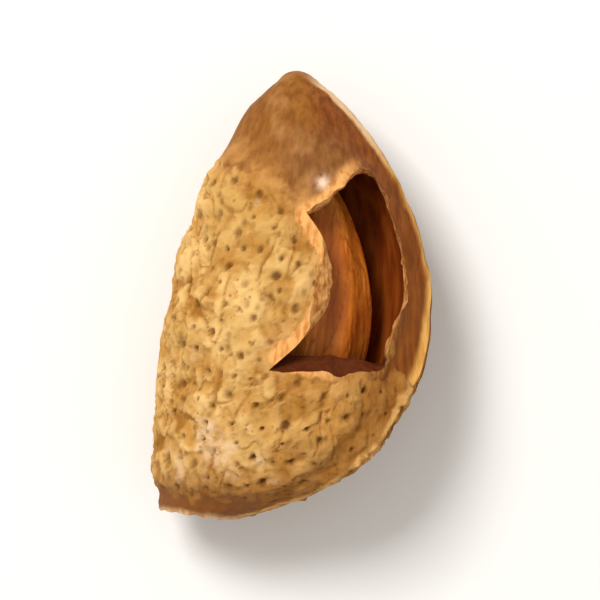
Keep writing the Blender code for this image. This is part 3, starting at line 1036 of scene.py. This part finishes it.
# Where the ledge under the hole gets its painted shadow.
LEDGE_SHADOW_FROM, LEDGE_SHADOW_TO = 3.6, 4.2
SCAR_Y = -15.2
SCAR_STAIN = (0.62, 0.97)
SCAR_HALF_WIDTH = HALF_WIDTH * egg(SCAR_FROM, WIDTH_RISE, WIDTH_FALL)
SCAR_HALF_THICKNESS = HALF_THICKNESS * egg(SCAR_FROM, THICKNESS_RISE, THICKNESS_FALL)
PLACE_VALUES = ("across", "up", "along", "mauve", "glint", "lip", "ledge_shadow", "scar")
BREAK_ANGLE = math.radians(55)


def place_masks(point):
    """Where on the nut this point is: along and across it, on the cap, at the painted glint, by the hole,
    on the ledge with its painted shadow or on the scar.
    """
    rolled = ROLLED @ point
    across, up = untwisted(point)
    tint = MAUVE_SLOPE * (rolled.x - MAUVE_X) + MAUVE_WANDER * noise.noise(point / PATCH_SPREAD)
    mauve = smoothstep(-MAUVE_BLUR, MAUVE_BLUR, tint)
    # A painted highlight: a small glint on the cap by the hole, painted as pale wood.
    to_glint = math.hypot(rolled.x - GLINT_X, rolled.y - GLINT_Y)
    glint = bump(to_glint, GLINT_SIZE) * smoothstep(*GLINT_SIDE, rolled.z)
    distance, left = to_window(point)
    lip = left * (1 - smoothstep(LIP_TINT * 0.5, LIP_TINT, distance))
    # The ledge under the hole's lower edge: a painted shadow.
    ledge_shadow = smoothstep(LEDGE_SHADOW_FROM, LEDGE_SHADOW_TO, -rolled.y)
    ring = math.hypot(across / SCAR_HALF_WIDTH, up / SCAR_HALF_THICKNESS)
    scar = (1 - smoothstep(*SCAR_STAIN, ring)) * (point.y < SCAR_Y)
    return across, up, point.y, mauve, glint, lip, ledge_shadow, scar


store(shell, PLACE_VALUES, place_masks)
shell.data.shade_smooth()
shell.data.set_sharp_from_angle(angle=BREAK_ANGLE)
print("values on the shell", [value.name for value in shell.data.attributes if value.data_type == "FLOAT"])

# %% [markdown]
# A kernel dries in its skin, which wrinkles lengthwise and shows fine veins between the wrinkles. They
# could be sculpted one by one. Here the wrinkles are a wave round the kernel that a slow noise lets
# wander, and the veins are the thin lines along which another noise passes zero.

# %% Wrinkles and veins of the kernel
WRINKLES, WRINKLE_DEPTH = 11, 0.12
WRINKLE_DRIFT, WRINKLE_DRIFT_RATE = 2.2, 0.18
FINE_VEIN_DEPTH, FINE_VEIN_SPREAD, FINE_VEIN_LONG, FINE_VEIN_WIDTH = 0.07, 0.62, 7.0, 0.12
SKIN_CRUMB, SKIN_CRUMB_SPREAD = 0.025, 0.22


def vein_share(point):
    return bump(noise.noise(stretched(point, FINE_VEIN_SPREAD, FINE_VEIN_LONG)), FINE_VEIN_WIDTH)


def wrinkle_wave(turn, y):
    drift = WRINKLE_DRIFT * noise.noise(Vector((math.cos(turn), WRINKLE_DRIFT_RATE * y, math.sin(turn))))
    return math.cos(WRINKLES * turn + drift)


waves = [wrinkle_wave(turn, 3) for turn in turns(200)]
folds = sum(before < 0 <= after for before, after in zip(waves, waves[1:] + waves[:1]))
print("folds round the kernel", folds)

# %% [markdown]
# The kernel is a flattened drop with its point at the apex. A scaled sphere has no point, so the kernel
# is drawn from a profile, as the shell is. All its wrinkles and veins are cut inward and none is raised,
# so it stays as clear of the shell as the solid kernel does. For its masks, a finished point is led back
# to its turn round the kernel, and the same functions are asked again.

# %% Kernel
KERNEL_BASE_Y, KERNEL_APEX_Y = -11.4, 9.8
KERNEL_HALF_WIDTH, KERNEL_HALF_THICKNESS = 5.5, 4.05
KERNEL_RISE, KERNEL_FALL = 0.47, 0.72
KERNEL_X, KERNEL_DROP = -0.4, 0.52
KERNEL_CELLS = (65, 135, 50)


def kernel_point(s, turn):
    profile = egg(s, KERNEL_RISE, KERNEL_FALL)
    across = KERNEL_HALF_WIDTH * profile * math.cos(turn)
    up = KERNEL_HALF_THICKNESS * profile * math.sin(turn)
    y = KERNEL_BASE_Y + (KERNEL_APEX_Y - KERNEL_BASE_Y) * s
    groove = WRINKLE_DEPTH * profile * (wrinkle_wave(turn, y) - 1)
    skin = Vector((across, y, up))
    groove -= profile * FINE_VEIN_DEPTH * vein_share(skin)
    groove -= profile * SKIN_CRUMB * (1 + noise.noise(skin / SKIN_CRUMB_SPREAD))
    scale = 1 + groove / max(math.hypot(across, up), POINT_SIZE)
    x = KERNEL_X + bent_axis((y - BASE_Y) / (APEX_Y - BASE_Y))
    return Vector((x + across * scale, y, up * scale - KERNEL_DROP))


def kernel_masks(point):
    x = point.x - KERNEL_X - bent_axis((point.y - BASE_Y) / (APEX_Y - BASE_Y))
    skin = Vector((x, point.y, point.z + KERNEL_DROP))
    turn = math.atan2(skin.z / KERNEL_HALF_THICKNESS, skin.x / KERNEL_HALF_WIDTH)
    return 0.5 - 0.5 * wrinkle_wave(turn, point.y), vein_share(skin)


kernel = grow("almond_kernel", *blown_box(KERNEL_CELLS), kernel_point)
store(kernel, ("wrinkle", "vein"), kernel_masks)
kernel.data.shade_smooth()
print("kernel", [round(side / MM, 1) for side in kernel.dimensions], len(kernel.data.polygons), "squares")

# %% [markdown]
# A finish is a network of nodes, and its masks are sums and products. Dozens of Math nodes, each placed
# on its own line, would hide what they add up to. A small class wraps a node's output instead, so that
# such a sum is written as Python and adds its own Math nodes. One method makes every other kind of node.

# %% Wires
class Wire:
    """A node's output. Arithmetic adds Math nodes, and node adds any other kind."""

    def __init__(self, tree, socket=None):
        self.tree = tree
        self.socket = socket

    def node(self, kind, settings, sockets, output=0):
        made = self.tree.nodes.new("ShaderNode" + kind)
        for name, value in settings.items():
            setattr(made, name, value)
        for name, value in sockets.items():
            if isinstance(value, Wire):
                self.tree.links.new(value.socket, made.inputs[name])
            else:
                made.inputs[name].default_value = value
        return Wire(self.tree, made.outputs[output])

    def math(self, operation, *values):
        return self.node("Math", {"operation": operation}, dict(enumerate(values)))

    def __add__(self, other):
        return self.math("ADD", self, other)

    def __radd__(self, other):
        return self.math("ADD", other, self)

    def __sub__(self, other):
        return self.math("SUBTRACT", self, other)

    def __rsub__(self, other):
        return self.math("SUBTRACT", other, self)

    def __mul__(self, other):
        return self.math("MULTIPLY", self, other)

    def __rmul__(self, other):
        return self.math("MULTIPLY", other, self)

    def __abs__(self):
        return self.math("ABSOLUTE", self)


print("a wire adds nodes by", [name for name in vars(Wire) if name[0] != "_"])

# %% [markdown]
# Colours don't pass through Math nodes, which would turn them grey, but through Mix nodes. A second helper
# makes a soft step of a mask. A third turns a colour as it is judged on a screen into the linear values
# that a socket holds.

# %% Colours and steps
MIX_FACTOR, MIX_LOW, MIX_HIGH, MIX_COLOUR = 0, 6, 7, 2


def colour(red, green, blue):
    """A socket's colour from judged screen values of 0 to 255."""
    linear = []
    for value in (red / 255, green / 255, blue / 255):
        linear.append(value / 12.92 if value <= 0.04045 else ((value + 0.055) / 1.055) ** 2.4)
    return (*linear, 1.0)


def mix(mask, low, high):
    return mask.node(
        "Mix", {"data_type": "RGBA"}, {MIX_FACTOR: mask, MIX_LOW: low, MIX_HIGH: high}, MIX_COLOUR
    )


def rise(value, low, high):
    """0 below low and 1 above high, with a soft step between."""
    settings = {"interpolation_type": "SMOOTHSTEP"}
    return value.node("MapRange", settings, {"Value": value, "From Min": low, "From Max": high})


print("crust colour in linear values", [round(value, 3) for value in colour(225, 177, 103)])

# %% [markdown]
# Every finish starts in the same way: a material, its Principled shader and the object's coordinates.
# Written out each time, that would hide what is its own. This class starts a finish, and gives its stored
# masks, its grain and its cells by name. All grain is in the object's own coordinates, with sizes in
# millimetres, so it keeps its size wherever the nut is put.

# %% A finish
class Finish(Wire):
    """A material: the start of its wires, and what its shader is fed."""

    def __init__(self, name):
        self.material = bpy.data.materials.new(name)
        self.material.use_nodes = True
        super().__init__(self.material.node_tree)
        self.shader = self.tree.nodes["Principled BSDF"]
        self.place = self.node("TexCoord", {}, {}, "Object")

    def stored(self, name):
        return self.node("Attribute", {"attribute_name": name}, {}, "Fac")

    def grain(self, size_mm, long=1.0, detail=3.0, rough=0.55):
        """Noise with features of about size_mm, drawn out along the nut."""
        squeeze = (1.0, 1.0 / long, 1.0)
        place = self.node("Mapping", {}, {"Vector": self.place, "Scale": squeeze})
        sockets = {"Vector": place, "Scale": 1 / (size_mm * MM), "Detail": detail, "Roughness": rough}
        return self.node("TexNoise", {}, sockets, "Fac")

    def cells(self, size_mm):
        """Distance from the middle of the nearest of many scattered cells, in cells."""
        return self.node("TexVoronoi", {}, {"Vector": self.place, "Scale": 1 / (size_mm * MM)}, "Distance")

    def feed(self, **values):
        for name, value in values.items():
            socket = self.shader.inputs[name.replace("_", " ")]
            if isinstance(value, Wire):
                self.tree.links.new(value.socket, socket)
            else:
                socket.default_value = value

    def bumped(self, height, depth_mm):
        sockets = {"Height": height, "Distance": depth_mm * MM, "Strength": 1.0}
        return self.node("Bump", {}, sockets, "Normal")


print("a finish offers", [name for name in vars(Finish) if name[0] != "_"])

# %% [markdown]
# A pale worn crest with a dark seam runs along the keel, a brown band lies beside it, and the base is
# brown with a pale rim round its scar. Painted by hand, they would fit one mesh only. They follow from
# the stored places instead, and a slow noise lets each line wander.

# %% Lines along the nut
SIDE = (0.2, 2.0)
CREST_UP, CREST_HALF, CREST_BLUR = 0.15, 0.6, (-0.1, 0.3)
APEX_CREST_Y, APEX_CREST_WIDER = 9.5, 0.3
SEAM_CORE, SEAM_LINE = 0.064, 0.16
BACK_CORE, BACK_LINE = 0.05, 0.22
# How far under the keel shade is painted, over bare brown wood.
BELOW = (0.5, 2.2)
BAND_FROM, BAND_TO = 2.0, 4.2
BASE_FROM, BASE_TO = -15.6, -12.2
RIM_FROM, RIM_TO = -16.5, -15.9


class Place:
    """Masks that follow from where a point is: along the keel, beside it, under it where shade is painted,
    at the base and on its rim.
    """

    def __init__(self, skin):
        across, up, along = (skin.stored(name) for name in ("across", "up", "along"))
        wander = 0.5 * skin.grain(1.5, 2.0) - 0.25
        height = abs(up + wander - CREST_UP)
        keel = rise(across, *SIDE)
        apex = rise(along, APEX_CREST_Y, APEX_CREST_Y + 2)
        half = CREST_HALF * skin.grain(2.2, 2.0) + APEX_CREST_WIDER * apex
        off_scar = rise(along, RIM_FROM, BASE_FROM)
        self.crest = keel * off_scar * (1 - rise(height - half, *CREST_BLUR))
        self.seam = keel * off_scar * (1 - rise(abs(up + 0.3 * wander), SEAM_CORE, SEAM_LINE))
        self.back = off_scar * rise(0 - across, *SIDE) * (1 - rise(abs(up + wander), BACK_CORE, BACK_LINE))
        self.band = keel * (1 - rise(abs(up) + 2 * wander, BAND_FROM, BAND_TO))
        # Under the keel: partly bare brown wood, partly painted shade.
        self.below = keel * rise(0 - up, *BELOW)
        self.base = 1 - rise(along + 3 * wander, BASE_FROM, BASE_TO)
        self.rim = (1 - rise(along + 1.2 * wander, RIM_FROM, RIM_TO)) * rise(skin.grain(0.9), 0.15, 0.4)


outside = Finish("almond_crust_and_wood")
lines = Place(outside)
print("nodes for the lines", len(outside.tree.nodes))

# %% [markdown]
# The crust is dry, matte and straw-coloured. It is paler where its flakes stand and browner between them
# and in its creases, partly its own tone and partly painted shade in these hollows. It is browner towards
# the base, darker under the keel, partly bare wood and partly painted shade, and tan towards the lower
# right, which is painted shade on the side away from the light. It is dark in its pits, partly their own
# tone and partly painted shade. One noise between two colours would look like cloth. Each colour is mixed
# over the last by a mask of its own instead, as a painter lays thin washes.

# %% Colour of the crust
SPECK_CELL, SPECK_CORE, SPECK_RIM = 0.62, 0.13, 0.26


def crust_colour(skin, place):
    thinned, dark, proud = (skin.stored(name) for name in ("thinned", "dark", "proud"))
    crease, pale, lower_right_shade = (skin.stored(name) for name in ("crease", "pale", "lower_right_shade"))
    blotch = rise(skin.grain(3.6, 1.3), 0.38, 0.62)
    straw = mix(blotch, colour(200, 154, 84), colour(226, 183, 114))
    # Between the flakes: browner, partly the crust's own tone and partly painted shade in the hollows.
    low = mix(rise(skin.grain(1.3), 0.35, 0.65), colour(154, 102, 36), colour(190, 136, 64))
    flakes_and_hollow_shade = mix(proud, low, straw)
    # The tan of the painted shade on the lower right side.
    tan = mix(rise(skin.grain(1.7, 1.4), 0.38, 0.64), colour(158, 100, 34), colour(202, 146, 74))
    shaded_lower_right = mix(lower_right_shade * 0.66, flakes_and_hollow_shade, tan)
    crumbly = mix(pale * rise(skin.grain(0.7), 0.25, 0.55), shaded_lower_right, colour(222, 184, 138))
    specks = 1 - rise(skin.cells(SPECK_CELL), SPECK_CORE, SPECK_RIM)
    speckled = mix(specks * rise(skin.grain(3.0), 0.42, 0.58) * 0.55, crumbly, colour(134, 86, 32))
    # Creases: browner, partly the crust's own tone and partly painted shade in the grooves.
    creased = mix(crease * 0.4, speckled, colour(148, 96, 38))
    tanned = mix(thinned * 0.5, creased, colour(178, 120, 58))
    flanked = mix(place.band * 0.6, tanned, colour(140, 84, 26))
    # Under the keel the crust is darkened: partly bare brown wood, partly painted shade.
    shaded = mix(place.below * 0.6, flanked, colour(124, 74, 30))
    based = mix(place.base * 0.85, shaded, colour(142, 90, 40))
    ridged = mix(place.crest * rise(skin.grain(0.9, 1.5), 0.30, 0.56) * 0.8, based, colour(220, 170, 100))
    lined = mix(place.back * 0.6, ridged, colour(120, 74, 28))
    # Dark pits and pores: partly their own tone, partly painted shade.
    return mix(dark, lined, colour(98, 58, 16))


crust_paint = crust_colour(outside, lines)
print("nodes with the crust", len(outside.tree.nodes))

# %% [markdown]
# The bare wood is a smooth mauve-brown with lengthwise fibres. It fades where the crust has only just gone,
# and carries the pale crest, the rim and the floor of the scar, the fresh wood of the hole's lip and one
# small painted highlight, a glint by the hole in pale wood colour. It is laid in washes too.

# %% Colour of the bare wood
def wood_colour(skin, place):
    mauve, glint, lip = (skin.stored(name) for name in ("mauve", "glint", "lip"))
    fibre = rise(skin.grain(0.45, 9.0), 0.28, 0.74)
    brown = mix(fibre, colour(120, 70, 17), colour(148, 92, 33))
    greyed = mix(mauve * 0.8, brown, mix(fibre, colour(110, 68, 36), colour(138, 92, 58)))
    patchy = mix(rise(skin.grain(1.6, 2.0), 0.50, 0.72) * 0.35, greyed, colour(188, 136, 82))
    faded = mix(skin.stored("fading") * rise(skin.grain(1.2), 0.3, 0.6), patchy, colour(186, 130, 64))
    banded = mix(place.band * 0.9, faded, mix(fibre, colour(109, 50, 4), colour(139, 74, 17)))
    based = mix(place.base, banded, colour(122, 72, 28))
    rimmed = mix(place.rim * 0.95, based, mix(fibre, colour(206, 152, 94), colour(246, 204, 152)))
    pith = mix(rise(skin.grain(0.5), 0.35, 0.6), colour(84, 46, 16), colour(150, 98, 50))
    scarred = mix(skin.stored("scar"), rimmed, pith)
    splits = rise(skin.grain(0.35, 3.0), 0.32, 0.6)
    lipped = mix(lip * 0.9, scarred, mix(splits, colour(196, 122, 54), colour(234, 170, 98)))
    # The painted highlight by the hole: a glint painted in pale wood colour.
    glinted = mix(glint * rise(skin.grain(0.6), 0.3, 0.5), lipped, colour(242, 206, 172))
    tip = rise(skin.stored("along"), APEX_CREST_Y - 1, APEX_CREST_Y + 2)
    crest_tone = mix(tip, mix(fibre, colour(204, 144, 62), colour(226, 172, 92)), colour(232, 190, 138))
    ridged = mix(place.crest * 0.9, glinted, crest_tone)
    return mix((place.seam + place.back) * 0.5, ridged, colour(120, 70, 26))


wood_paint = wood_colour(outside, lines)
print("nodes with the wood", len(outside.tree.nodes))

# %% [markdown]
# Two materials would meet in a line of square steps, since a face has only one. So the crust and the wood
# share one material, and the stored share of crust chooses between them at every point. It also makes the
# crust the rougher of the two. Only the finest grit, too fine for the mesh to hold, is a bump.

# %% Finish of the outside
crust = outside.stored("crust")
grit = 1.3 * crust * outside.grain(0.25, 1.0, 5.0, 0.65) + 0.8 * outside.grain(0.2, 10.0)
outside.feed(
    Base_Color=mix(crust, wood_paint, crust_paint),
    Roughness=0.58 + 0.26 * crust,
    Specular_IOR_Level=0.12,
    Normal=outside.bumped(grit, 0.07),
)
shell.data.materials[OUTSIDE] = outside.material
print("nodes of the outside", len(outside.tree.nodes))

# %% [markdown]
# Freshly broken shell is pale orange and fibrous, with fine pores where its vessels were cut across. On the
# ledge under the hole it is painted dark red-brown by a stored mask, as a painted shadow under the hole's
# lower edge. The outside's paint could be masked there too. But the cut gave these faces a slot of their
# own, so here a second material meets the first in a clean line.

# %% Broken edge
def break_finish():
    edge = Finish("almond_broken_wood")
    split = mix(rise(edge.grain(0.45, 2.0), 0.32, 0.62), colour(176, 104, 42), colour(230, 168, 98))
    pores = (1 - rise(edge.cells(0.34), 0.12, 0.26)) * rise(edge.grain(1.2), 0.4, 0.6)
    tan = mix(pores * 0.6, split, colour(130, 70, 24))
    # Painted shadow: the ledge under the hole's lower edge is painted dark red-brown.
    ledge_shadowed = mix(edge.stored("ledge_shadow") * 0.96, tan, colour(80, 25, 3))
    torn = edge.bumped(edge.grain(0.22, 1.5, 5.0), 0.12)
    edge.feed(Base_Color=ledge_shadowed, Roughness=0.7, Specular_IOR_Level=0.1, Normal=torn)
    return edge.material


shell.data.materials.append(break_finish())
print("slot of the break", shell.data.materials[BREAK].name)

# %% [markdown]
# The inner wall is a smooth red-brown with lengthwise streaks and a slight shine. It lies in shadow, and
# little of it shows, so a few nodes are enough.

# %% Inner wall
def inside_finish():
    wall = Finish("almond_inner_wall")
    streak = rise(wall.grain(0.9, 6.0), 0.35, 0.65)
    brown = mix(streak, colour(112, 44, 7), colour(150, 74, 20))
    veins = wall.bumped(wall.grain(0.4, 6.0), 0.03)
    wall.feed(Base_Color=brown, Roughness=0.45, Specular_IOR_Level=0.28, Normal=veins)
    return wall.material


shell.data.materials.append(inside_finish())
print("finishes of the shell", [material.name for material in shell.data.materials])

# %% [markdown]
# The kernel's skin is a dry papery brown with darker veins and folds, and a fine pale powder. It shines a
# little, as a dried skin does. With noise alone, the dark lines would lie beside the folds. The stored
# wrinkles and veins put them in the folds, and a fine bump crumples the skin between them.

# %% Skin of the kernel
def kernel_finish():
    skin = Finish("almond_kernel_skin")
    wrinkle, vein = skin.stored("wrinkle"), skin.stored("vein")
    blotch = rise(skin.grain(3.0, 2.0), 0.35, 0.65)
    brown = mix(blotch, colour(204, 108, 26), colour(232, 142, 46))
    lined = mix(rise(skin.grain(0.35, 8.0), 0.4, 0.7) * 0.5, brown, colour(158, 76, 18))
    veined = mix(vein * 0.5, lined, colour(132, 60, 14))
    folded = mix(wrinkle * 0.45, veined, colour(128, 58, 14))
    dusty = mix(rise(skin.grain(0.25), 0.60, 0.75) * 0.2, folded, colour(232, 166, 92))
    crumpled = skin.bumped(skin.grain(0.15, 3.0), 0.04)
    skin.feed(Base_Color=dusty, Roughness=0.48, Specular_IOR_Level=0.25, Normal=crumpled)
    return skin.material


kernel.data.materials.append(kernel_finish())
print("kernel finish", kernel.data.materials[0].name)

# %% [markdown]
# The fine pieces now stand for the plain solids and move with the body that those belong to. The solids
# could be shown as well, but they would stick out through the fine pits.

# %% Joining the frame
for piece, node, slot in ((shell, "shell", "shell"), (kernel, "kernel", "kernel_skin")):
    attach(piece, "root")
    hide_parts(node)
print("pieces", shell.name, kernel.name)

# %% [markdown]
# The nut lies on a plain pale table, which isn't part of it. A single large square is enough, because the
# camera sees no edge of it.

# %% Table
TABLE_SIZE = 1.2


def plain_finish(name, tint, roughness):
    paint = Finish(name)
    paint.feed(Base_Color=tint, Roughness=roughness)
    return paint.material


half = TABLE_SIZE / 2
corners = [(-half, -half, 0), (half, -half, 0), (half, half, 0), (-half, half, 0)]
table = mesh_object("table", corners, [(0, 1, 2, 3)])
table.data.materials.append(plain_finish("pale_table", colour(236, 234, 230), 0.85))
print("table", TABLE_SIZE, "m wide")

# %% [markdown]
# The nut is seen from straight above, turned a little so that its apex leans to the right. A short lens
# would swell its middle. A long lens from far off keeps its outline true. The height follows from the
# nut's length, so that it fills the same share of the picture if its size is changed.

# %% Camera
LENS = 200.0
SENSOR = 36.0
NUT_SHARE = 0.76
LEAN_IN_VIEW = math.radians(6.1)
middle = (cad_low + cad_high) / 2
camera = bpy.data.objects.new("camera", bpy.data.cameras.new("camera"))
bpy.context.collection.objects.link(camera)
camera.data.lens = LENS
camera.data.sensor_width = SENSOR
view_height = (cad_high.y - cad_low.y) / NUT_SHARE
camera.location = middle + Vector((0, 0, LENS * view_height / SENSOR))
camera.rotation_euler = (0, 0, LEAN_IN_VIEW)
bpy.context.scene.camera = camera
print("camera", round(camera.location.z, 3), "m above the table")

# %% [markdown]
# A large soft light stands at the upper left, as a window would. A small one would draw hard shadows in
# every pit. A pale sky fills the shadows, so that the hollow stays readable.

# %% Light
KEY_PLACE = Vector((-0.18, 0.185, 0.365))
KEY_SIZE, KEY_POWER = 0.16, 1.68
SKY_STRENGTH, SKY_TINT = 0.66, (1.0, 0.98, 0.95, 1.0)
key = bpy.data.objects.new("key", bpy.data.lights.new("key", "AREA"))
bpy.context.collection.objects.link(key)
key.data.size = KEY_SIZE
key.data.energy = KEY_POWER
key.location = middle + KEY_PLACE
key.rotation_mode = "QUATERNION"
key.rotation_quaternion = KEY_PLACE.to_track_quat("Z", "Y")
sky = bpy.data.worlds.new("sky")
sky.use_nodes = True
sky.node_tree.nodes["Background"].inputs["Color"].default_value = SKY_TINT
sky.node_tree.nodes["Background"].inputs["Strength"].default_value = SKY_STRENGTH
bpy.context.scene.world = sky
bpy.context.scene.view_settings.view_transform = "Standard"
print("light", round(key.location.z, 2), "m above the table")

# %% [markdown]
